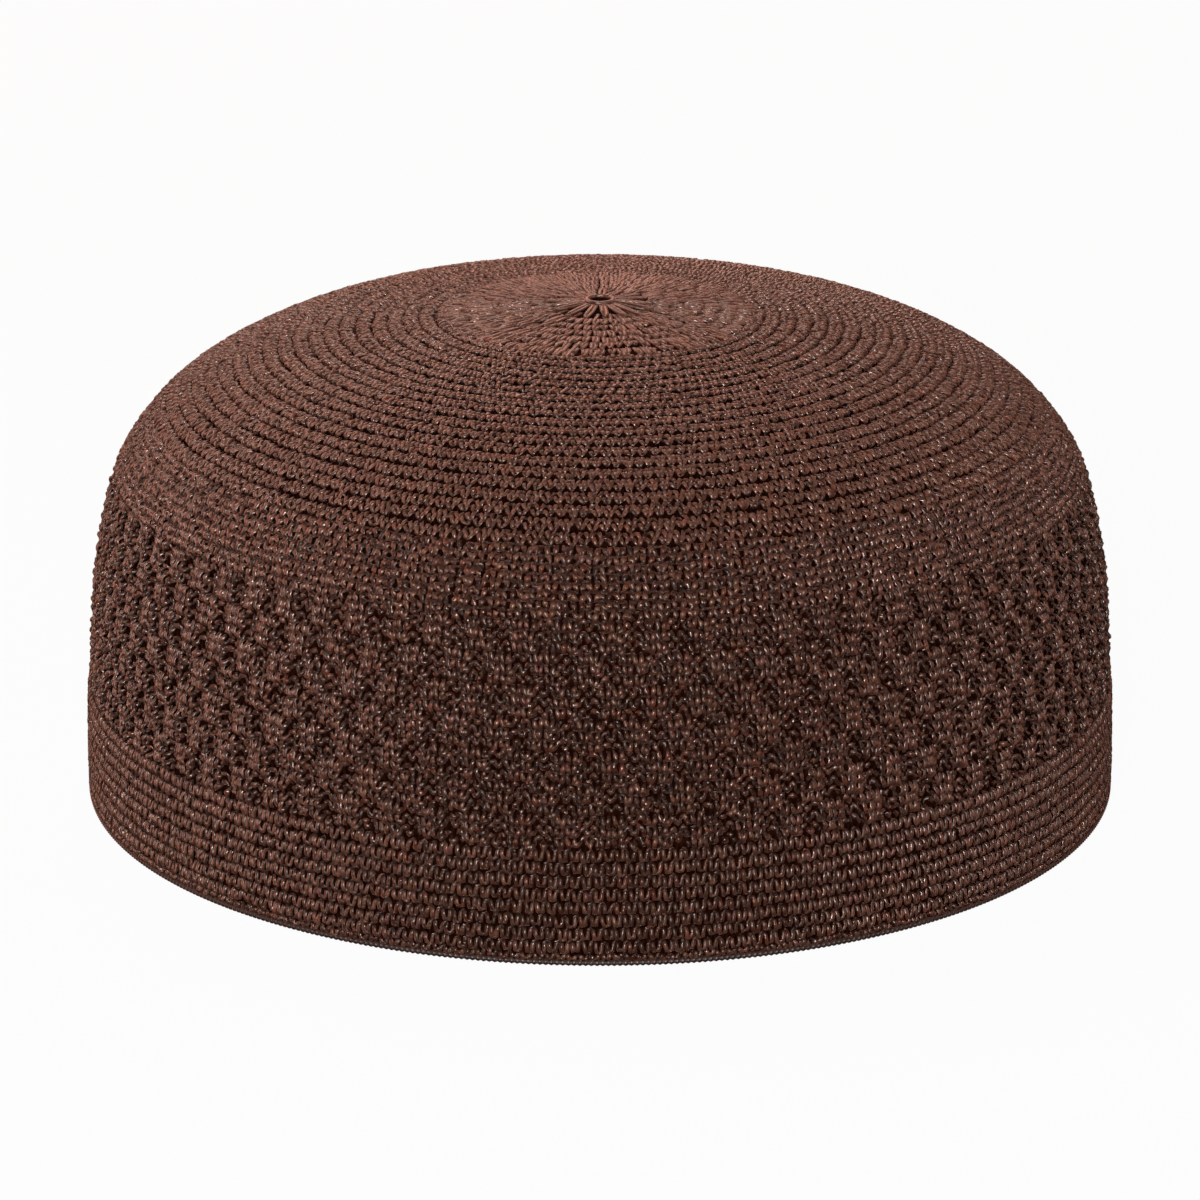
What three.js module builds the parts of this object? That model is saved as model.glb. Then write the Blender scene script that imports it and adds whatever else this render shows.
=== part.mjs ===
// A knitted kufi: a round brimless cap, knitted in one piece and hollow for the head.
// From the rim up it has a band of fine ribs, a side of raised blocks set half a step apart
// from row to row, a plain shoulder, and a ribbed crown gathered round a small centre hole.
// Millimetres, +Z up. The origin is the middle of the rim's underside.
import * as THREE from "three";

// Overall size, measured over the raised stitches
const OUTER_DIAMETER = 186;
const CAP_HEIGHT = 89.5;

// The knit, and the rim where it is turned in and lies double
const KNIT_THICKNESS = 2.2;
const HEM_THICKNESS = 3.0;
const EDGE_ROUNDING = 0.8;

// Lengths along the outside, from the rim upwards; the ribbed crown takes what is left
const RIM_LENGTH = 20.8;
const SIDE_LENGTH = 38.7;
const SHOULDER_LENGTH = 13.2;
const GATHERED_LENGTH = 38;

// Stitch patterns: pitches along the outside, and depths below the raised stitches
const RIM_RIB_PITCH = 2.31;
const RIM_RIB_DEPTH = 0.6;
const BLOCK_WIDTH = 7.69;
const BLOCK_ROW_PITCH = 5.5;
const BLOCK_DEPTH = 0.9;
const SHOULDER_DEPTH = 0.3;
const CROWN_RIB_PITCH = 2.86;
const CROWN_RIB_DEPTH = 0.7;

// The gathered centre
const GATHER_COUNT = 28;
const GATHER_DEPTH = 0.7;
const HOLE_DIAMETER = 3.2;
const HOLE_LIP = 1.1;

// The plain inside is built of rings about this far apart
const INSIDE_RING_PITCH = 12;

const YARN_COLOUR = 0x4b3129;

// Outline of the outside, as shares of the outer radius and of the height
const OUTLINE_TABLE = [
  { place: "rim edge", out: 1, up: 0 },
  { place: "rim", out: 1, up: 0.1 },
  { place: "lower side", out: 0.994, up: 0.27 },
  { place: "upper side", out: 0.98, up: 0.465 },
  { place: "lower shoulder", out: 0.939, up: 0.65 },
  { place: "shoulder", out: 0.862, up: 0.77 },
  { place: "crown edge", out: 0.75, up: 0.856 },
  { place: "outer crown", out: 0.6, up: 0.92 },
  { place: "middle crown", out: 0.42, up: 0.955 },
  { place: "inner crown", out: 0.2, up: 0.981 },
  { place: "centre", out: 0, up: 1 },
];

// How the gathers fade: share of the gathered length from the centre, and share of their depth
const GATHER_TABLE = [
  { place: "first folds", along: 0.8, deep: 0.25 },
  { place: "half way", along: 0.56, deep: 0.6 },
  { place: "close folds", along: 0.34, deep: 1 },
  { place: "drawn in", along: 0.16, deep: 0.8 },
];

const OUTER_RADIUS = OUTER_DIAMETER / 2;
const FULL_TURN = 2 * Math.PI;

const blocksPerTurn = Math.round((Math.PI * OUTER_DIAMETER) / BLOCK_WIDTH);
const rimSteps = blocksPerTurn;
const sideSteps = 2 * blocksPerTurn;
const shoulderSteps = blocksPerTurn;
const crownSteps = Math.round((3 * blocksPerTurn) / 4);
const gatherSteps = 2 * GATHER_COUNT;
const insideSteps = Math.round(blocksPerTurn / 2);

const outline = new THREE.SplineCurve(
  OUTLINE_TABLE.map(({ out, up }) => new THREE.Vector2(out * OUTER_RADIUS, up * CAP_HEIGHT)),
);
const outlineLength = outline.getLength();
const sideStart = RIM_LENGTH;
const shoulderStart = sideStart + SIDE_LENGTH;
const crownStart = shoulderStart + SHOULDER_LENGTH;
const gatherStart = outlineLength - GATHERED_LENGTH;
const lipStart = outlineLength - HOLE_DIAMETER / 2 - HOLE_LIP;

// A ring is a list of points round the axis, each with its depth below the raised stitches.
function makeRing(steps, placeAt) {
  return Array.from({ length: steps }, (_, step) => {
    const { radius, height, depth } = placeAt(step);
    const angle = (FULL_TURN * step) / steps;
    const x = radius * Math.cos(angle);
    const y = radius * Math.sin(angle);
    return { x, y, z: height, depth };
  });
}

// A ring at a length along the outline, sunk square to it by the depth at each step.
function outlineRing(length, steps, depthAt) {
  const share = length / outlineLength;
  const point = outline.getPointAt(share);
  const along = outline.getTangentAt(share);
  return makeRing(steps, (step) => {
    const depth = depthAt(step);
    const radius = point.x - depth * along.y;
    const height = point.y + depth * along.x;
    return { radius, height, depth };
  });
}

function footRing(depth, steps) {
  return makeRing(steps, () => ({ radius: OUTER_RADIUS - depth, height: 0, depth }));
}

// Ribs are pairs of rings: a crest in the middle of each rib and a groove at its upper edge.
function ribRings(start, length, pitch, grooveDepth, steps) {
  const ribs = Math.max(1, Math.round(length / pitch));
  const rings = [];
  for (let rib = 0; rib < ribs; rib += 1) {
    const crest = start + (length * (rib + 0.5)) / ribs;
    const groove = start + (length * (rib + 1)) / ribs;
    rings.push(outlineRing(crest, steps, () => 0));
    rings.push(outlineRing(groove, steps, () => grooveDepth));
  }
  return rings;
}

// Raised and sunk blocks take turns round each row, and each row is set one step on.
function blockRings() {
  const rows = Math.max(1, Math.round(SIDE_LENGTH / BLOCK_ROW_PITCH));
  return Array.from({ length: rows }, (_, row) => {
    const middle = sideStart + (SIDE_LENGTH * (row + 0.5)) / rows;
    const isSunk = (step) => (step + row) % 2 === 1;
    return outlineRing(middle, sideSteps, (step) => (isSunk(step) ? BLOCK_DEPTH : 0));
  });
}

function shoulderRings() {
  const shares = [0, 0.5, 1];
  return shares.map((share) =>
    outlineRing(shoulderStart + SHOULDER_LENGTH * share, shoulderSteps, () => SHOULDER_DEPTH),
  );
}

// The gathers are radial folds that deepen towards the hole, where they draw together.
function gatherRings() {
  return GATHER_TABLE.map(({ along, deep }) => {
    const length = outlineLength - GATHERED_LENGTH * along;
    const foldDepth = GATHER_DEPTH * deep;
    return outlineRing(length, gatherSteps, (step) => (step % 2 === 1 ? foldDepth : 0));
  });
}

// The lip turns over the edge of the hole, from the outside to the inside of the knit.
function lipRings() {
  const middle = outlineLength - HOLE_DIAMETER / 2;
  return [
    outlineRing(lipStart, insideSteps, () => 0),
    outlineRing(middle, insideSteps, () => KNIT_THICKNESS / 3),
    outlineRing(middle, insideSteps, () => (KNIT_THICKNESS * 2) / 3),
  ];
}

// The plain inside runs down from the hole to the turned-in hem, and ends at the foot.
function insideRings() {
  const hemTop = RIM_LENGTH + HEM_THICKNESS - KNIT_THICKNESS;
  const plainLength = lipStart - hemTop;
  const spaces = Math.ceil(plainLength / INSIDE_RING_PITCH);
  const rings = [];
  for (let space = 0; space <= spaces; space += 1) {
    const length = lipStart - (plainLength * space) / spaces;
    rings.push(outlineRing(length, insideSteps, () => KNIT_THICKNESS));
  }
  rings.push(outlineRing(RIM_LENGTH, insideSteps, () => HEM_THICKNESS));
  rings.push(footRing(HEM_THICKNESS, insideSteps));
  return rings;
}

// Triangles between two neighbouring rings, which may have different numbers of steps.
// Between equal rings each four-sided patch is folded along its more sunken diagonal.
function joinRings(first, second, firstStart, secondStart, triangles) {
  const firstAt = (step) => step % first.length;
  const secondAt = (step) => step % second.length;
  let i = 0;
  let j = 0;
  while (i < first.length || j < second.length) {
    const firstNext = (i + 1) * second.length;
    const secondNext = (j + 1) * first.length;
    const firstFold = first[firstAt(i + 1)].depth + second[secondAt(j)].depth;
    const secondFold = first[firstAt(i)].depth + second[secondAt(j + 1)].depth;
    const evenStep = firstNext === secondNext;
    const moveFirst = evenStep ? firstFold >= secondFold : firstNext < secondNext;
    const a = firstStart + firstAt(i);
    const b = secondStart + secondAt(j);
    if (moveFirst) {
      triangles.push(a, firstStart + firstAt(i + 1), b);
      i += 1;
    } else {
      triangles.push(a, secondStart + secondAt(j + 1), b);
      j += 1;
    }
  }
}

// The rings run once round the wall's section, so joining the last to the first closes it.
function closedWall(rings) {
  const positions = [];
  const starts = [];
  for (const ring of rings) {
    starts.push(positions.length / 3);
    for (const { x, y, z } of ring) positions.push(x, y, z);
  }
  const triangles = [];
  rings.forEach((ring, index) => {
    const next = (index + 1) % rings.length;
    joinRings(ring, rings[next], starts[index], starts[next], triangles);
  });
  const geometry = new THREE.BufferGeometry();
  geometry.setAttribute("position", new THREE.Float32BufferAttribute(positions, 3));
  geometry.setIndex(triangles);
  geometry.computeVertexNormals();
  return geometry;
}

function yarnMaterial() {
  return new THREE.MeshStandardMaterial({ color: YARN_COLOUR, roughness: 0.75, metalness: 0 });
}

function knittedCap() {
  const crownLength = gatherStart - crownStart;
  const rings = [
    footRing(EDGE_ROUNDING, rimSteps),
    ...ribRings(0, RIM_LENGTH, RIM_RIB_PITCH, RIM_RIB_DEPTH, rimSteps),
    ...blockRings(),
    ...shoulderRings(),
    ...ribRings(crownStart, crownLength, CROWN_RIB_PITCH, CROWN_RIB_DEPTH, crownSteps),
    ...gatherRings(),
    ...lipRings(),
    ...insideRings(),
  ];
  const cap = new THREE.Mesh(closedWall(rings), yarnMaterial());
  cap.name = "knitted_cap";
  return cap;
}

const group = new THREE.Group();
group.name = "kufi";
group.add(knittedCap());

export default group;
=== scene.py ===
"""The knitted kufi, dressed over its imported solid: every visible stitch is a loop of yarn.

Lengths are in metres. The cap is round, so a place on it is given by three numbers: turn, in whole
turns round the axis; length, measured up the outline from the rim edge; and depth, measured
inwards, square to the outline.
"""
import math

import bpy
import numpy as np
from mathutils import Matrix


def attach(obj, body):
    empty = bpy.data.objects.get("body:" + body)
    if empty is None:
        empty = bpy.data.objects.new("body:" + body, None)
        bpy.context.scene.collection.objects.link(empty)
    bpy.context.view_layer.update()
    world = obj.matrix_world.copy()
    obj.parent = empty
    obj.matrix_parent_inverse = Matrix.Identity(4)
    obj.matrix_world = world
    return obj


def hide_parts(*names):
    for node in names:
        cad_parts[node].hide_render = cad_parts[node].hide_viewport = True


NODE = "knitted_cap"
BODY = "root"
UV_MAP = "knit_run"
SEED = 7

# The materials read depth in centimetres
DEPTH_SCALE = 100

# Overall size, over the raised stitches
OUTER_DIAMETER = 0.186
CAP_HEIGHT = 0.0895

# Lengths along the outline; the ribbed crown takes what is left
RIM_LENGTH = 0.0208
SIDE_LENGTH = 0.0387
SHOULDER_LENGTH = 0.0132
GATHERED_LENGTH = 0.0264

# The yarn: radius, sides of its tube, sides of the round edge and lip, and samples to a stitch
YARN_RADIUS = 0.00036
YARN_SIDES = 3
ROUND_SIDES = 6
SAMPLES = 8

# Stitches to the turn
RIM_STITCHES = 304
SHOULDER_STITCHES = 228
BLOCK_STITCHES = 2

# Rows in each zone
RIM_ROWS = 9
SIDE_ROWS = 21
BLOCK_ROWS = 3
SHOULDER_ROWS = 8
CROWN_ROWS = 20

# Depths of the plain inside, of the deepest yarn above it, and of the turned-in hem
INSIDE_DEPTH = 0.0025
DEEPEST_YARN = 0.0021
HEM_DEPTH = 0.0030

# The hole in the centre
HOLE_RADIUS = 0.0016

# Outline of the raised stitches, as shares of the outer radius and of the height
OUTLINE_TABLE = (
    # place, share of the radius, share of the height
    ("rim edge", 1.0, 0.0),
    ("rim", 1.0, 0.1),
    ("lower side", 0.994, 0.27),
    ("upper side", 0.98, 0.465),
    ("lower shoulder", 0.939, 0.65),
    ("shoulder", 0.862, 0.77),
    ("crown edge", 0.75, 0.856),
    ("outer crown", 0.6, 0.92),
    ("middle crown", 0.42, 0.955),
    ("inner crown", 0.2, 0.981),
    ("centre", 0.0, 1.0),
)


class Outline:
    """The smooth curve through the outline table, read by its length from the rim edge."""

    STEPS = 100

    def __init__(self, radius, height):
        knots = np.array([(out * radius, up * height) for _, out, up in OUTLINE_TABLE])
        share = np.linspace(0, 1, self.STEPS, endpoint=False)[:, None]
        parts = []
        for k in range(len(knots) - 1):
            before, start, end = knots[max(k - 1, 0)], knots[k], knots[k + 1]
            after = knots[min(k + 2, len(knots) - 1)]
            leave = (end - before) / 2
            arrive = (after - start) / 2
            cubic = 2 * start - 2 * end + leave + arrive
            square = -3 * start + 3 * end - 2 * leave - arrive
            parts.append(((cubic * share + square) * share + leave) * share + start)
        points = np.vstack(parts + [knots[-1:]])
        steps = np.linalg.norm(np.diff(points, axis=0), axis=1)
        self.lengths = np.concatenate([[0], np.cumsum(steps)])
        self.points = points
        along = np.gradient(points, self.lengths, axis=0)
        along /= np.linalg.norm(along, axis=1)[:, None]
        self.along = along
        self.total = self.lengths[-1]

    def read(self, values, length):
        return np.interp(length, self.lengths, values)

    def place(self, turn, length, depth):
        """Points in space and the outward directions there."""
        angle = 2 * math.pi * np.asarray(turn)
        out = self.read(self.along[:, 1], length)
        up = -self.read(self.along[:, 0], length)
        radius = self.read(self.points[:, 0], length) - depth * out
        height = self.read(self.points[:, 1], length) - depth * up
        cos, sin = np.cos(angle), np.sin(angle)
        points = np.stack([radius * cos, radius * sin, height], -1)
        outward = np.stack([out * cos, out * sin, up], -1)
        return points, outward

    def radius_at(self, length):
        return self.read(self.points[:, 0], length)


def unit(vectors):
    return vectors / np.linalg.norm(vectors, axis=-1, keepdims=True)


def drift(rng, stitches, size):
    """Random unevenness that runs smoothly from stitch to stitch."""
    at_stitch = rng.normal(0, size, stitches)
    share = np.arange(SAMPLES) / SAMPLES
    return at_stitch[:, None] * (1 - share) + np.roll(at_stitch, -1)[:, None] * share


def shake(rng, stitches, size):
    """Random unevenness from one part of a stitch to the next: foot, leg, head, leg."""
    parts = rng.normal(0, size, stitches * SAMPLES // 2)
    between = (parts + np.roll(parts, -1)) / 2
    return np.stack([parts, between], -1).reshape(stitches, SAMPLES)


class Yarn:
    """Collects closed lengths of yarn and makes one mesh of them.

    The tone lightens or darkens the whole piece, as a step on the scale of the tints.
    """

    def __init__(self, outline, tone=0.0):
        self.outline = outline
        self.tone = tone
        self.points = []
        self.faces = []
        self.uvs = []
        self.tints = []
        self.depths = []
        self.count = 0

    def add(self, turn, length, depth, radius, tint, relief=0.0, sides=YARN_SIDES):
        """A closed tube whose middle runs through the places given, one row for each stitch.

        Relief sinks the knit as a whole, so it doesn't count in the depth between the loops, by which
        the materials darken the colour as painted shade.
        """
        sunk = np.minimum(depth + relief, DEEPEST_YARN)
        path, outward = self.outline.place(turn.ravel(), length.ravel(), sunk.ravel())
        radius = np.broadcast_to(radius, turn.shape).ravel()
        tint = np.broadcast_to(tint + self.tone, turn.shape).ravel()
        along = unit(np.roll(path, -1, 0) - np.roll(path, 1, 0))
        across = unit(np.cross(along, outward))
        up = np.cross(across, along)
        angle = 2 * math.pi * (np.arange(sides) + 0.5) / sides
        ring = np.cos(angle)[:, None] * up[:, None] + np.sin(angle)[:, None] * across[:, None]
        points = path[:, None] + radius[:, None, None] * ring
        steps = len(path)
        first = self.count + sides * np.arange(steps)[:, None]
        second = self.count + sides * ((np.arange(steps) + 1) % steps)[:, None]
        side = np.arange(sides)[None]
        after = (side + 1) % sides
        faces = np.stack([first + side, first + after, second + after, second + side], -1)
        run = np.linalg.norm(np.roll(path, -1, 0) - path, axis=1)
        run = np.concatenate([[0], np.cumsum(run)])
        start = np.broadcast_to(run[:-1, None], (steps, sides))
        end = np.broadcast_to(run[1:, None], (steps, sides))
        low = np.broadcast_to(side / sides, (steps, sides))
        high = low + 1 / sides
        corners = [(start, low), (start, high), (end, high), (end, low)]
        uvs = np.stack([np.stack(corner, -1) for corner in corners], 2)
        self.points.append(points.reshape(-1, 3))
        self.faces.append(faces.reshape(-1, 4))
        self.uvs.append(uvs.reshape(-1, 2))
        self.tints.append(np.repeat(tint, sides))
        # depth of each corner, by which the materials darken the colour as painted shade
        below = depth.ravel()[:, None] - radius[:, None] * np.cos(angle)
        self.depths.append(below.ravel() * DEPTH_SCALE)
        self.count += steps * sides

    def make_piece(self, name, material):
        mesh = quad_mesh(name, np.vstack(self.points), np.vstack(self.faces))
        add_uvs(mesh, np.vstack(self.uvs))
        add_values(mesh, "tint", np.concatenate(self.tints))
        add_values(mesh, "depth", np.concatenate(self.depths))
        add_piece(name, mesh, material)


def quad_mesh(name, points, faces):
    mesh = bpy.data.meshes.new(name)
    mesh.vertices.add(len(points))
    mesh.vertices.foreach_set("co", points.astype(np.float32).ravel())
    mesh.loops.add(faces.size)
    mesh.loops.foreach_set("vertex_index", faces.astype(np.int32).ravel())
    mesh.polygons.add(len(faces))
    mesh.polygons.foreach_set("loop_start", np.arange(0, faces.size, 4, dtype=np.int32))
    mesh.update(calc_edges=True)
    mesh.shade_smooth()
    return mesh


def add_uvs(mesh, uvs):
    """Where each corner is in the knit: along the yarn and round it, or by stitch and course."""
    mesh.uv_layers.new(name=UV_MAP).uv.foreach_set("vector", uvs.astype(np.float32).ravel())


def add_values(mesh, name, values):
    mesh.attributes.new(name, "FLOAT", "POINT").data.foreach_set("value", values.astype(np.float32))


def add_piece(name, mesh, material):
    """Adds an object of the cap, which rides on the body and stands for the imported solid."""
    piece = bpy.data.objects.new(name, mesh)
    bpy.context.scene.collection.objects.link(piece)
    mesh.materials.append(material)
    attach(piece, BODY)
    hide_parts(NODE)


# Stitches

PHASE = 2 * math.pi * np.arange(SAMPLES) / SAMPLES
# How far the legs lean together or apart, as shares of the stitch width
RIM_BULGE = 0.09
CROWN_BULGE = 0.05
PLAIN_BULGE = 0.24
PURL_BULGE = 0.05
# How far the feet and heads reach from the middle of the course, as shares of its height
RIM_REACH = 0.38
PLAIN_REACH = 0.58
PURL_REACH = 0.31
SHOULDER_REACH = 0.56
CROWN_REACH = 0.24
# Thickness of the yarn, as a share of the usual
RIM_GRAIN = 1.15
CROWN_GRAIN = 1.15
# Steps on the scale of the tints
RIM_TONE = -0.3
SHOULDER_TONE = 0.35
# How uneven each zone is, as a share of the usual
RIM_UNEVEN = 1.2
SIDE_UNEVEN = 1.6
SHOULDER_UNEVEN = 1.8
CROWN_UNEVEN = 1.3
# The usual unevenness, from stitch to stitch and within a stitch
TURN_DRIFT = 0.04
LENGTH_DRIFT = 0.00008
LENGTH_SHAKE = 0.00012
DEPTH_SHAKE = 0.00012
GRAIN_DRIFT = 0.06
GRAIN_SHAKE = 0.07
MIDDLE_TINT = 0.5
TINT_DRIFT = 0.15
TINT_SHAKE = 0.25
# Depth of each sample of a ribbed stitch: foot, leg, head and leg of a rounded rib
RIB_LEAN = 0.0008 * np.array([0.3, 0.05, 0.0, 0.3, 1.0, 0.3, 0.0, 0.05])
# The two courses of a crown rib: the lower one stands proud, the upper one leans into the groove
LOWER_LEAN = 0.0006 * np.array([0.7, 0.2, 0.0, 0.4, 1.0, 0.4, 0.0, 0.2])
UPPER_LEAN = 0.0009 * np.array([0.6, 0.2, 0.05, 0.4, 1.0, 0.4, 0.05, 0.2])
# A plain stitch shows its two legs as grains, and a purled one its foot and its head as beads
PLAIN_LEAN = 0.0011 * np.array([1.0, 0.45, 0.0, 0.35, 1.0, 0.45, 0.0, 0.35])
PLAIN_GRAIN = np.array([0.6, 1.05, 1.35, 1.15, 0.6, 1.05, 1.35, 1.15])
SHOULDER_LEAN = 0.9 * PLAIN_LEAN
SHOULDER_GRAIN = 1.15 * PLAIN_GRAIN
PURL_LEAN = 0.0007 * np.array([0.0, 0.45, 1.0, 0.45, 0.0, 0.45, 1.0, 0.45])
PURL_GRAIN = np.array([1.6, 1.25, 0.95, 1.25, 1.6, 1.25, 0.95, 1.25])


def stitch_turns(stitches, bulge, shift=0.0):
    """Turn of each sample of each stitch: upright legs, drawn together or apart by the bulge."""
    stitch = np.arange(stitches)[:, None] + shift
    return (stitch + PHASE / (2 * math.pi) + bulge * np.sin(2 * PHASE)) / stitches


def tints(rng, stitches):
    return MIDDLE_TINT + drift(rng, stitches, TINT_DRIFT) + shake(rng, stitches, TINT_SHAKE)


def add_loops(
    yarn, rng, stitches, base, reach, lean, bulge, shift=0.0, grain=1.0, uneven=1.0, relief=None
):
    """A course of loops at a length, its feet and heads a reach below and above it."""
    turn = stitch_turns(stitches, bulge, shift)
    aside = drift(rng, stitches, TURN_DRIFT) + shake(rng, stitches, TURN_DRIFT)
    turn = turn + uneven * aside / stitches
    length = base - reach * np.cos(PHASE)
    length = length + uneven * (drift(rng, stitches, LENGTH_DRIFT) + shake(rng, stitches, LENGTH_SHAKE))
    swelling = 1 + drift(rng, stitches, GRAIN_DRIFT) + shake(rng, stitches, GRAIN_SHAKE)
    radius = YARN_RADIUS * grain * swelling
    depth = radius + lean + uneven * np.abs(shake(rng, stitches, DEPTH_SHAKE))
    turn, length, depth, radius = np.broadcast_arrays(turn, length, depth, radius)
    sunk = relief(turn, length) if relief else 0.0
    yarn.add(turn, length, depth, radius, tints(rng, stitches), sunk)


# The rim: middle of each course, and the lowest course, which is short, as shares of the height
RIM_MIDDLE = 0.47
LOWEST_MIDDLE = 0.74
LOWEST_REACH = 0.14
# Its rolled edge: radius, how far it is set in, how deep the nips are, and how much deeper it counts
# for the painted shade
EDGE_RADIUS = 0.00062
EDGE_SET_IN = 0.0002
EDGE_NIP = 0.18
EDGE_PAINTED_SHADE = 0.00055


def make_rim(outline, material):
    """Nine ribs of double knit, with a rolled edge below them."""
    rng = np.random.default_rng(SEED)
    yarn = Yarn(outline, RIM_TONE)
    pitch = RIM_LENGTH / RIM_ROWS
    for row in range(RIM_ROWS):
        base = pitch * (row + RIM_MIDDLE)
        reach = pitch * RIM_REACH
        if row == 0:
            base = pitch * LOWEST_MIDDLE
            reach = pitch * LOWEST_REACH
        shift = rng.uniform()
        add_loops(
            yarn, rng, RIM_STITCHES, base, reach, RIB_LEAN, RIM_BULGE, shift, RIM_GRAIN, RIM_UNEVEN
        )
    add_edge(yarn, rng)
    yarn.make_piece("rim_ribs", material)


def add_edge(yarn, rng):
    """The rolled lowest edge, with two nips to each stitch.

    It lies in the shade under the ribs, so it counts as lying deeper in the knit than it does, and its
    colour is darkened as painted shade.
    """
    turn = stitch_turns(RIM_STITCHES, 0)
    nips = 1 - EDGE_NIP * (1 + np.cos(2 * PHASE)) * np.ones((RIM_STITCHES, 1))
    length = np.full_like(turn, EDGE_RADIUS)
    depth = np.full_like(turn, EDGE_RADIUS + EDGE_SET_IN + EDGE_PAINTED_SHADE)
    tint = tints(rng, RIM_STITCHES)
    # the depth takes the painted shade, which the negative relief keeps out of the shape
    yarn.add(turn, length, depth, EDGE_RADIUS * nips, tint, -EDGE_PAINTED_SHADE, sides=ROUND_SIDES)


# The side's blocks: how deep the hollows dip, and how far the raised ones round off
BLOCK_DIP = 0.0013
BLOCK_ROUNDING = 0.0004
BLOCK_FADE = 0.0012
# Where a hollow starts on its way from the middle of a dome, and how soon it is fully deep
HOLLOW_START = 0.3
HOLLOW_SLOPE = 0.6


def block_relief(turn, length):
    """How far the knit sinks at a place on the side: wide domes with narrow hollows between them."""
    up = np.sin(math.pi * (length - RIM_LENGTH) * SIDE_ROWS / (SIDE_LENGTH * BLOCK_ROWS))
    across = np.cos(math.pi * (turn * RIM_STITCHES - 1) / BLOCK_STITCHES) * np.sign(up)
    hollow = np.clip((-across - HOLLOW_START) / HOLLOW_SLOPE, 0, 1)
    hollow = hollow * hollow * (3 - 2 * hollow) * np.sqrt(np.abs(up))
    round_off = 1 - np.clip(across, 0, 1) * np.sqrt(np.abs(up))
    from_end = SIDE_LENGTH / 2 - np.abs(length - RIM_LENGTH - SIDE_LENGTH / 2)
    share = np.clip(from_end / BLOCK_FADE, 0, 1)
    return share * (BLOCK_DIP * hollow + BLOCK_ROUNDING * round_off)


def raised_stitches(rows, stitches):
    """True where a stitch shows its legs, and false where it shows its bumps, in blocks by turns."""
    row = np.arange(rows)[:, None] // BLOCK_ROWS
    stitch = np.arange(stitches)[None] // BLOCK_STITCHES
    return (row + stitch) % 2 == 0


SIDE_PIECES = ("side_lower", "side_middle", "side_upper")


def make_side(outline, material):
    """Blocks of plain and purled stitches, in three pieces of seven courses."""
    rng = np.random.default_rng(SEED + 1)
    raised_rows = raised_stitches(SIDE_ROWS, RIM_STITCHES)
    pitch = SIDE_LENGTH / SIDE_ROWS
    rows = SIDE_ROWS // len(SIDE_PIECES)
    for band, name in enumerate(SIDE_PIECES):
        yarn = Yarn(outline)
        for row in range(band * rows, (band + 1) * rows):
            base = RIM_LENGTH + pitch * (row + 0.5)
            raised = raised_rows[row][:, None]
            reach = pitch * np.where(raised, PLAIN_REACH, PURL_REACH)
            lean = np.where(raised, PLAIN_LEAN, PURL_LEAN)
            bulge = np.where(raised, PLAIN_BULGE, PURL_BULGE)
            grain = np.where(raised, PLAIN_GRAIN, PURL_GRAIN)
            add_loops(
                yarn, rng, RIM_STITCHES, base, reach, lean, bulge, 0, grain, SIDE_UNEVEN, block_relief
            )
        yarn.make_piece(name, material)


def make_shoulder(outline, material):
    """Plain stitches all round, each a pair of legs in a V."""
    rng = np.random.default_rng(SEED + 2)
    yarn = Yarn(outline, SHOULDER_TONE)
    pitch = SHOULDER_LENGTH / SHOULDER_ROWS
    for row in range(SHOULDER_ROWS):
        base = RIM_LENGTH + SIDE_LENGTH + pitch * (row + 0.5)
        reach = pitch * SHOULDER_REACH
        add_loops(
            yarn, rng, SHOULDER_STITCHES, base, reach, SHOULDER_LEAN, PLAIN_BULGE, 0, SHOULDER_GRAIN,
            SHOULDER_UNEVEN,
        )
    yarn.make_piece("shoulder_stitches", material)


CROWN_TABLE = (
    # stitches to the turn, least radius
    (228, 0.0640),
    (190, 0.0530),
    (156, 0.0435),
    (128, 0.0360),
    (106, 0.0),
)
CROWN_PIECES = ("crown_outer_ribs", "crown_middle_ribs", "crown_inner_ribs")
# The two courses of a rib: middle as a share of the rib, and depth
CROWN_COURSES = ((0.29, LOWER_LEAN), (0.67, UPPER_LEAN))
# How far a course is set on from the one below it, as a share of a stitch
COURSE_SHIFT = 0.25


def crown_stitches(radius):
    """The knit is narrowed step by step on its way to the centre."""
    for stitches, least in CROWN_TABLE:
        if radius >= least:
            return stitches


def make_crown(outline, material):
    """Ribs round the crown in three pieces, each rib two courses of short loops."""
    rng = np.random.default_rng(SEED + 3)
    start = RIM_LENGTH + SIDE_LENGTH + SHOULDER_LENGTH
    pitch = (outline.total - GATHERED_LENGTH - start) / CROWN_ROWS
    yarns = [Yarn(outline) for _ in CROWN_PIECES]
    for row in range(CROWN_ROWS):
        foot = start + pitch * row
        stitches = crown_stitches(outline.radius_at(foot))
        yarn = yarns[row * len(yarns) // CROWN_ROWS]
        shift = rng.uniform()
        reach = pitch * CROWN_REACH
        for share, lean in CROWN_COURSES:
            base = foot + pitch * share
            add_loops(
                yarn, rng, stitches, base, reach, lean, CROWN_BULGE, shift, CROWN_GRAIN, CROWN_UNEVEN
            )
            shift += COURSE_SHIFT
    for yarn, name in zip(yarns, CROWN_PIECES):
        yarn.make_piece(name, material)


# The gathered centre: rings of short loops, and a star of long ones that meet in the lip of the hole
GATHER_RINGS = 6
GATHER_REACH = 0.0021
GATHER_OVERLAP = 0.0008
STITCH_WIDTH = 0.0015
STRAND_SPREAD = 0.0004
STRAND_RADIUS = 0.0004
STAR_STITCHES = 17
STAR_RADIUS = 0.0095
STAR_LEAN = 0.3
LIP_RADIUS = 0.0024
LIP_STITCHES = 14
# A ring of loops closes the gaps under the star
UNDER_STITCHES = 26
UNDER_NEAR = 0.0040
UNDER_FAR = STAR_RADIUS + 0.0020
UNDER_SPREAD = 0.0005
UNDER_RADIUS = 0.00045
UNDER_DEPTH = 0.0003
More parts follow.
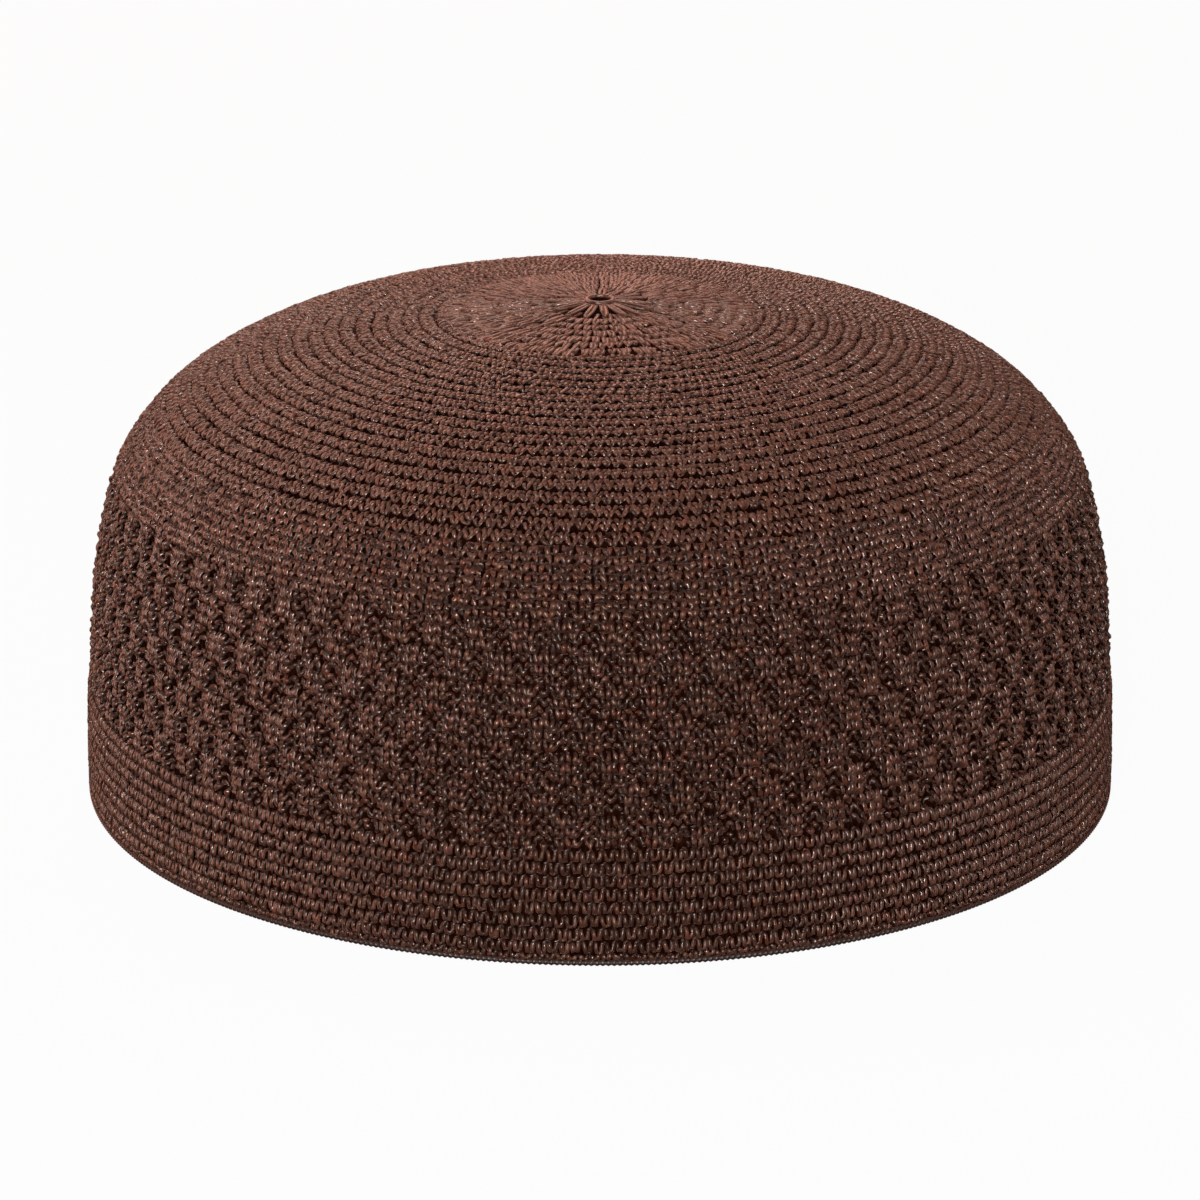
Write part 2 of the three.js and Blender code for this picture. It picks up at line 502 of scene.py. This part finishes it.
# How uneven the strands are: length, place along them, place round the centre, spread and thickness
STAGGER = 0.0009
STRAND_SHAKE = 0.0001
STRAND_DRIFT = 0.1
SPREAD_SHAKE = 0.15
STRAND_SWELLING = 0.08
# Half the width of a loop, at most, as a share of its room in the ring
WIDEST_SPREAD = 0.4
# Depth of each sample of a gathered strand: its head runs under the strands nearer the centre
STRAND_LEAN = 0.001 * np.array([0.15, 0.0, 0.05, 0.35, 1.0, 0.35, 0.05, 0.0])


def make_centre(outline, material):
    """Loops that lie towards the centre like spokes, and the lip that the inmost ones meet."""
    rng = np.random.default_rng(SEED + 4)
    yarn = Yarn(outline)
    step = (GATHERED_LENGTH - STAR_RADIUS) / GATHER_RINGS
    for ring in range(GATHER_RINGS):
        far = GATHERED_LENGTH + GATHER_OVERLAP - step * ring
        middle = far - GATHER_REACH
        stitches = round(2 * math.pi * middle / STITCH_WIDTH)
        near = middle - GATHER_REACH
        add_strands(yarn, rng, stitches, near, far, STRAND_SPREAD, STRAND_RADIUS, STRAND_LEAN)
    under = UNDER_DEPTH + STRAND_LEAN
    add_strands(yarn, rng, UNDER_STITCHES, UNDER_NEAR, UNDER_FAR, UNDER_SPREAD, UNDER_RADIUS, under)
    star = STAR_LEAN * STRAND_LEAN
    add_strands(yarn, rng, STAR_STITCHES, LIP_RADIUS, STAR_RADIUS, STRAND_SPREAD, STRAND_RADIUS, star)
    turn = stitch_turns(LIP_STITCHES, 0)
    length = np.full_like(turn, outline.total - LIP_RADIUS)
    lip_depth = np.full_like(turn, STRAND_RADIUS)
    yarn.add(turn, length, lip_depth, STRAND_RADIUS, tints(rng, LIP_STITCHES), sides=ROUND_SIDES)
    yarn.make_piece("centre_gathers", material)


def add_strands(yarn, rng, stitches, near, far, spread, thick, lean):
    """A ring of narrow loops: two strands side by side, joined at the far end."""
    stagger = rng.normal(0, STAGGER, stitches)[:, None]
    outward_share = (1 + np.cos(PHASE)) / 2
    radius = near + (far - near + stagger) * outward_share + shake(rng, stitches, STRAND_SHAKE)
    middle = (np.arange(stitches) + rng.normal(0, STRAND_DRIFT, stitches))[:, None] / stitches
    beside = np.minimum(spread / (2 * math.pi * radius), WIDEST_SPREAD / stitches)
    beside = beside * (1 + shake(rng, stitches, SPREAD_SHAKE))
    turn = middle + beside * np.sin(PHASE)
    falling = PHASE > math.pi
    turn[:, falling] = (np.roll(middle, -1) + beside * np.sin(PHASE))[:, falling]
    turn[-1, falling] += 1
    head = np.isclose(PHASE, math.pi)
    turn[:, head] = middle + 0.5 / stitches
    thick = thick * (1 + shake(rng, stitches, STRAND_SWELLING))
    depth = thick + lean + np.abs(shake(rng, stitches, DEPTH_SHAKE))
    yarn.add(turn, yarn.outline.total - radius, depth, thick, tints(rng, stitches))


# The ground under the loops: its depth, how much deeper its grooves are, and how much of the
# blocks' relief it follows
GROUND_DEPTH = 0.0010
RIBBED_DEPTH = 0.0009
GROOVE_DEPTH = 0.0004
SHOULDER_EXTRA = 0.0003
CENTRE_EXTRA = -0.0003
GROUND_SINK = 0.8
GROUND_RINGS = 150
INSIDE_RINGS = 20
# Its first rings, in the rolled edge, and the last ones, inside the hem
FOOT_LENGTHS = (0.0005, 0.0016)
FOOT_DEPTH = 0.0009
GROUND_START = 0.0022
LIP_DEPTH = 0.0006
LIP_LENGTH = 0.003
HEM_LENGTHS = (RIM_LENGTH, 0.010, 0.0004)
HEM_STEP = 0.001


def rib_groove(length, start, pitch):
    """1 in the groove between two ribs and 0 on the back of each."""
    return 0.5 + 0.5 * np.cos(2 * math.pi * (length - start) / pitch)


def ground_depth(outline, turn, length):
    """Depth of the ground under the loops, which follows the ribs, and how far the blocks sink it."""
    crown_start = RIM_LENGTH + SIDE_LENGTH + SHOULDER_LENGTH
    crown_pitch = (outline.total - GATHERED_LENGTH - crown_start) / CROWN_ROWS
    rim = RIBBED_DEPTH + GROOVE_DEPTH * rib_groove(length, 0, RIM_LENGTH / RIM_ROWS)
    crown = RIBBED_DEPTH + GROOVE_DEPTH * rib_groove(length, crown_start, crown_pitch)
    zones = (length < RIM_LENGTH, length < RIM_LENGTH + SIDE_LENGTH, length < crown_start)
    plain = np.full_like(length, GROUND_DEPTH)
    ribbed = np.where(length < outline.total - GATHERED_LENGTH, crown, plain + CENTRE_EXTRA)
    depth = np.select(zones, (rim, plain, plain + SHOULDER_EXTRA), ribbed)
    return depth, np.where(zones[1] & ~zones[0], GROUND_SINK * block_relief(turn, length), 0.0)


def make_ground(outline, material):
    """The closed wall under the loops: the ground of the knit outside, coloured near-black as painted
    shade, and its plain inside.
    """
    lip = outline.total - HOLE_RADIUS
    outer = np.concatenate([np.linspace(GROUND_START, lip - LIP_LENGTH, GROUND_RINGS), [lip]])
    inside = np.concatenate([np.linspace(lip, RIM_LENGTH + HEM_STEP, INSIDE_RINGS), HEM_LENGTHS])
    inside_depth = np.where(inside > RIM_LENGTH, INSIDE_DEPTH, HEM_DEPTH)
    foot = np.array(FOOT_LENGTHS)
    lengths = np.concatenate([foot, outer, inside])
    turns = RIM_STITCHES // 2
    turn, length = np.meshgrid((np.arange(turns) + 0.5) / turns, lengths)
    depth, sunk = ground_depth(outline, turn, length)
    depth[:len(foot)] = FOOT_DEPTH
    depth[len(foot) + len(outer) - 1] = LIP_DEPTH
    depth[-len(inside):] = inside_depth[:, None]
    sunk[-len(inside):] = 0
    points, _ = outline.place(turn, length, depth + sunk)
    rows = len(lengths)
    row = np.arange(rows)[:, None]
    step = np.arange(turns)[None]
    next_row = (row + 1) % rows
    next_step = (step + 1) % turns
    places = [(row, step), (row, next_step), (next_row, next_step), (next_row, step)]
    faces = np.stack([ring * turns + place for ring, place in places], -1)
    mesh = quad_mesh("knit_ground", points.reshape(-1, 3), faces.reshape(-1, 4))
    stitch = step * (RIM_STITCHES / turns) + np.zeros((rows, 1))
    course = lengths[:, None] * SIDE_ROWS / SIDE_LENGTH + np.zeros((1, turns))
    after = stitch + RIM_STITCHES / turns
    above = np.roll(course, -1, 0)
    corners = [(stitch, course), (after, course), (after, above), (stitch, above)]
    add_uvs(mesh, np.stack([np.stack(corner, -1) for corner in corners], 2).reshape(-1, 2))
    add_values(mesh, "depth", depth.ravel() * DEPTH_SCALE)
    add_piece("knit_ground", mesh, material)


# Materials

YARN_COLOURS = (
    (0.30, (0.098, 0.028, 0.016)),
    (0.42, (0.074, 0.028, 0.017)),
    (0.52, (0.082, 0.037, 0.022)),
    (0.62, (0.070, 0.030, 0.024)),
    (0.72, (0.104, 0.034, 0.024)),
)
# Ground colour by depth: near-black between the loops as painted shade, and the inside's own dark brown
# at the last stop
GROUND_PAINTED_SHADE_AND_COLOUR = (
    (0.08, (0.022, 0.006, 0.003)),
    (0.10, (0.009, 0.002, 0.0008)),
    (0.13, (0.008, 0.0015, 0.0005)),
    (0.17, (0.007, 0.0012, 0.0004)),
    (0.22, (0.060, 0.020, 0.013)),
)
# Painted shade: the yarn's colour is darkened the deeper it lies in the knit
DEPTH_PAINTED_SHADES = (
    # depth in centimetres, share of the colour left by the painted shade
    (0.020, (1.0, 1.0, 1.0)),
    (0.050, (0.50, 0.47, 0.46)),
    (0.075, (0.14, 0.10, 0.09)),
    (0.110, (0.10, 0.05, 0.03)),
)
# Twist of the yarn
TWISTS_PER_METRE = 900.0
STRANDS = 3.0
TWIST_STRENGTH = 0.6
TWIST_HEIGHT = 0.0001
# Plain knitting of the ground: how far the legs slant, in courses to a stitch
CHEVRON_SLANT = 1.6
CHEVRON_STRENGTH = 0.8
CHEVRON_HEIGHT = 0.0006
# How fine the noises are, in spots to the metre
YARN_PATCHES = 420
GLINTS = 1500
GROUND_PATCHES = 300


def new_material(name):
    material = bpy.data.materials.new(name)
    material.use_nodes = True
    tree = material.node_tree
    return material, tree.nodes, tree.links, tree.nodes["Principled BSDF"]


def yarn_material():
    """Shiny nylon yarn: brown that varies from stitch to stitch, darkened as painted shade where it
    lies deeper in the knit.
    """
    material, nodes, links, shader = new_material("brown_yarn")
    shader.inputs["Specular IOR Level"].default_value = 0.75
    shader.inputs["Specular Tint"].default_value = (1.0, 0.80, 0.72, 1)
    shader.inputs["Sheen Weight"].default_value = 0.14
    shader.inputs["Sheen Roughness"].default_value = 0.4
    shader.inputs["Sheen Tint"].default_value = (1.0, 0.38, 0.26, 1)
    tint = attribute_value(nodes, "tint")
    place = nodes.new("ShaderNodeTexCoord").outputs["Object"]
    patchy = noise_value(nodes, links, place, YARN_PATCHES, 2)
    brown = ramp_colour(nodes, links, patchy, YARN_COLOURS)
    shade = ramp_colour(nodes, links, tint, ((0.0, (0.5, 0.47, 0.45)), (1.0, (1.75, 1.75, 1.75))))
    # painted shade: the colour darkened by the depth in the knit
    painted_depth_shade = ramp_colour(nodes, links, attribute_value(nodes, "depth"), DEPTH_PAINTED_SHADES)
    lit = product(nodes, links, brown, shade)
    links.new(product(nodes, links, lit, painted_depth_shade), shader.inputs["Base Color"])
    glint = mapped(nodes, links, noise_value(nodes, links, place, GLINTS, 1), (0.35, 0.6), (0.22, 0.52))
    dull = mapped(nodes, links, attribute_value(nodes, "depth"), (0.07, 0.11), (0.2, 0.9))
    links.new(math_value(nodes, links, "MAXIMUM", glint, dull), shader.inputs["Roughness"])
    twist = twist_wave(nodes, links)
    add_bump(nodes, links, shader, twist, TWIST_STRENGTH, TWIST_HEIGHT)
    return material


def attribute_value(nodes, name):
    attribute = nodes.new("ShaderNodeAttribute")
    attribute.attribute_name = name
    return attribute.outputs["Fac"]


def noise_value(nodes, links, place, scale, detail):
    noise = nodes.new("ShaderNodeTexNoise")
    noise.inputs["Scale"].default_value = scale
    noise.inputs["Detail"].default_value = detail
    links.new(place, noise.inputs["Vector"])
    return noise.outputs["Fac"]


def mapped(nodes, links, value, source, target):
    """The value, with the source limits stretched to the target limits."""
    stretch = nodes.new("ShaderNodeMapRange")
    for side, numbers in (("From", source), ("To", target)):
        stretch.inputs[side + " Min"].default_value = numbers[0]
        stretch.inputs[side + " Max"].default_value = numbers[1]
    links.new(value, stretch.inputs["Value"])
    return stretch.outputs["Result"]


def math_value(nodes, links, operation, *values):
    """One sum, product or other operation on numbers and node outputs."""
    node = nodes.new("ShaderNodeMath")
    node.operation = operation
    for socket, value in zip(node.inputs, values):
        if isinstance(value, (int, float)):
            socket.default_value = value
        else:
            links.new(value, socket)
    return node.outputs[0]


def ramp_colour(nodes, links, value, stops):
    ramp = nodes.new("ShaderNodeValToRGB")
    elements = ramp.color_ramp.elements
    while len(elements) < len(stops):
        elements.new(0.5)
    for element, (place, colour) in zip(elements, stops):
        element.position = place
        element.color = (*colour, 1)
    links.new(value, ramp.inputs["Fac"])
    return ramp.outputs["Color"]


def product(nodes, links, first, second):
    mix = nodes.new("ShaderNodeMix")
    mix.data_type = "RGBA"
    mix.blend_type = "MULTIPLY"
    mix.inputs["Factor"].default_value = 1
    links.new(first, mix.inputs["A"])
    links.new(second, mix.inputs["B"])
    return mix.outputs["Result"]


def map_place(nodes, links):
    """The two coordinates of the knit's own map."""
    run = nodes.new("ShaderNodeUVMap")
    run.uv_map = UV_MAP
    split = nodes.new("ShaderNodeSeparateXYZ")
    links.new(run.outputs["UV"], split.inputs["Vector"])
    return split.outputs["X"], split.outputs["Y"]


def twist_wave(nodes, links):
    """Height of the twisted strands, from the distance along the yarn and round it."""
    along, around = map_place(nodes, links)
    strands = math_value(nodes, links, "MULTIPLY_ADD", along, TWISTS_PER_METRE, 0.0)
    twist = math_value(nodes, links, "MULTIPLY_ADD", around, STRANDS, strands)
    return math_value(nodes, links, "PINGPONG", twist, 0.5)


def chevron_wave(nodes, links):
    """Height of plain knitting: columns of stitches, each a pair of legs that meet in a V."""
    stitch, course = map_place(nodes, links)
    leg = math_value(nodes, links, "PINGPONG", stitch, 0.5)
    slanted = math_value(nodes, links, "MULTIPLY_ADD", leg, CHEVRON_SLANT, course)
    rows = math_value(nodes, links, "PINGPONG", slanted, 0.5)
    column = math_value(nodes, links, "PINGPONG", leg, 0.25)
    return math_value(nodes, links, "MULTIPLY_ADD", column, 2.0, rows)


def add_bump(nodes, links, shader, height, strength, distance):
    bump = nodes.new("ShaderNodeBump")
    bump.inputs["Strength"].default_value = strength
    bump.inputs["Distance"].default_value = distance
    links.new(height, bump.inputs["Height"])
    links.new(bump.outputs["Normal"], shader.inputs["Normal"])


def ground_material():
    """The ground between the loops, near-black where it lies deeper in the knit as painted shade, and
    the plain knitting of the inside, its V pattern darker in the low grooves as painted shade.
    """
    material, nodes, links, shader = new_material("ground_yarn_and_painted_shade")
    shader.inputs["Roughness"].default_value = 0.9
    shader.inputs["Specular IOR Level"].default_value = 0.02
    height = chevron_wave(nodes, links)
    # painted shade: the ground is near-black where it lies under the loops
    colour = ramp_colour(nodes, links, attribute_value(nodes, "depth"), GROUND_PAINTED_SHADE_AND_COLOUR)
    place = nodes.new("ShaderNodeTexCoord").outputs["Object"]
    patchy = noise_value(nodes, links, place, GROUND_PATCHES, 2)
    shade = ramp_colour(nodes, links, patchy, ((0.3, (0.75, 0.7, 0.7)), (0.7, (1.25, 1.2, 1.2))))
    # the V pattern of the knit, darker in its low grooves as painted shade
    knit = ramp_colour(nodes, links, height, ((0.15, (0.5, 0.45, 0.45)), (0.7, (1.2, 1.2, 1.2))))
    shaded = product(nodes, links, colour, shade)
    links.new(product(nodes, links, shaded, knit), shader.inputs["Base Color"])
    add_bump(nodes, links, shader, height, CHEVRON_STRENGTH, CHEVRON_HEIGHT)
    return material


def floor_material():
    """White paper, lit from below so that only a faint shadow shows."""
    material, nodes, links, shader = new_material("white_floor")
    shader.inputs["Base Color"].default_value = (0.035, 0.035, 0.035, 1)
    shader.inputs["Roughness"].default_value = 1.0
    shader.inputs["Specular IOR Level"].default_value = 0.0
    shader.inputs["Emission Color"].default_value = (0.995, 1, 1, 1)
    shader.inputs["Emission Strength"].default_value = 0.946
    return material


# Setting

FLOOR_SIZE = 8.0
LIGHT_AIM = (0, 0, 0.05)
CAMERA_PLACE = (0, -0.9154, 0.3463)
CAMERA_TILT = 18.91
CAMERA_LENS = 161.0
BACKDROP = 0.977
WARM = (1.0, 0.64, 0.53)
WARMER = (1.0, 0.55, 0.43)
WHITE = (1.0, 1.0, 1.0)
LIGHT_TABLE = (
    # name, place, size, power, colour
    ("top_softbox", (-0.15, 1.25, 0.9), 1.3, 12.3, WARM),
    ("left_softbox", (-1.25, 0.58, 0.28), 1.8, 19.8, WARMER),
    ("right_softbox", (1.25, 0.58, 0.28), 1.8, 9.8, WARMER),
    ("front_softbox", (-0.1, -1.5, 0.65), 0.6, 39.5, WHITE),
)


def make_floor():
    points = FLOOR_SIZE * np.array([(-1, -1, 0), (1, -1, 0), (1, 1, 0), (-1, 1, 0)])
    mesh = quad_mesh("floor", points, np.array([[0, 1, 2, 3]]))
    floor = bpy.data.objects.new("floor", mesh)
    bpy.context.scene.collection.objects.link(floor)
    mesh.materials.append(floor_material())
    floor.visible_diffuse = False
    floor.visible_glossy = False


def make_light(name, place, aim, size, power, colour):
    lamp = bpy.data.lights.new(name, "AREA")
    lamp.shape = "DISK"
    lamp.size = size
    lamp.energy = power
    lamp.color = colour
    light = bpy.data.objects.new(name, lamp)
    light.location = place
    toward = np.subtract(aim, place)
    light.rotation_euler = (
        math.atan2(math.hypot(toward[0], toward[1]), -toward[2]),
        0,
        math.atan2(toward[0], -toward[1]) + math.pi,
    )
    bpy.context.scene.collection.objects.link(light)


def make_world():
    world = bpy.data.worlds.new("studio")
    world.use_nodes = True
    background = world.node_tree.nodes["Background"]
    background.inputs["Color"].default_value = (1, 1, 1, 1)
    background.inputs["Strength"].default_value = BACKDROP
    bpy.context.scene.world = world
    world.cycles_visibility.diffuse = False
    world.cycles_visibility.glossy = False


def make_camera():
    camera = bpy.data.objects.new("camera", bpy.data.cameras.new("camera"))
    camera.data.lens = CAMERA_LENS
    camera.data.sensor_width = 36.0
    camera.location = CAMERA_PLACE
    camera.rotation_euler = (math.radians(90 - CAMERA_TILT), 0, 0)
    bpy.context.scene.collection.objects.link(camera)
    bpy.context.scene.camera = camera


def build():
    outline = Outline(OUTER_DIAMETER / 2, CAP_HEIGHT)
    yarn = yarn_material()
    make_rim(outline, yarn)
    make_side(outline, yarn)
    make_shoulder(outline, yarn)
    make_crown(outline, yarn)
    make_centre(outline, yarn)
    make_ground(outline, ground_material())
    make_floor()
    for name, place, size, power, colour in LIGHT_TABLE:
        make_light(name, place, LIGHT_AIM, size, power, colour)
    make_world()
    make_camera()
    bpy.context.scene.view_settings.view_transform = "Standard"


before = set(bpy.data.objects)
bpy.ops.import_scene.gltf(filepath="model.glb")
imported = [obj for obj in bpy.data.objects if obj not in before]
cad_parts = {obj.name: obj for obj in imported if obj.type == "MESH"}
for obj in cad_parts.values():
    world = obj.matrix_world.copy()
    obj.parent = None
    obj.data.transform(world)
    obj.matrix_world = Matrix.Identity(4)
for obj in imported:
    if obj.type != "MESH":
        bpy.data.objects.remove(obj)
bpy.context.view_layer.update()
build()
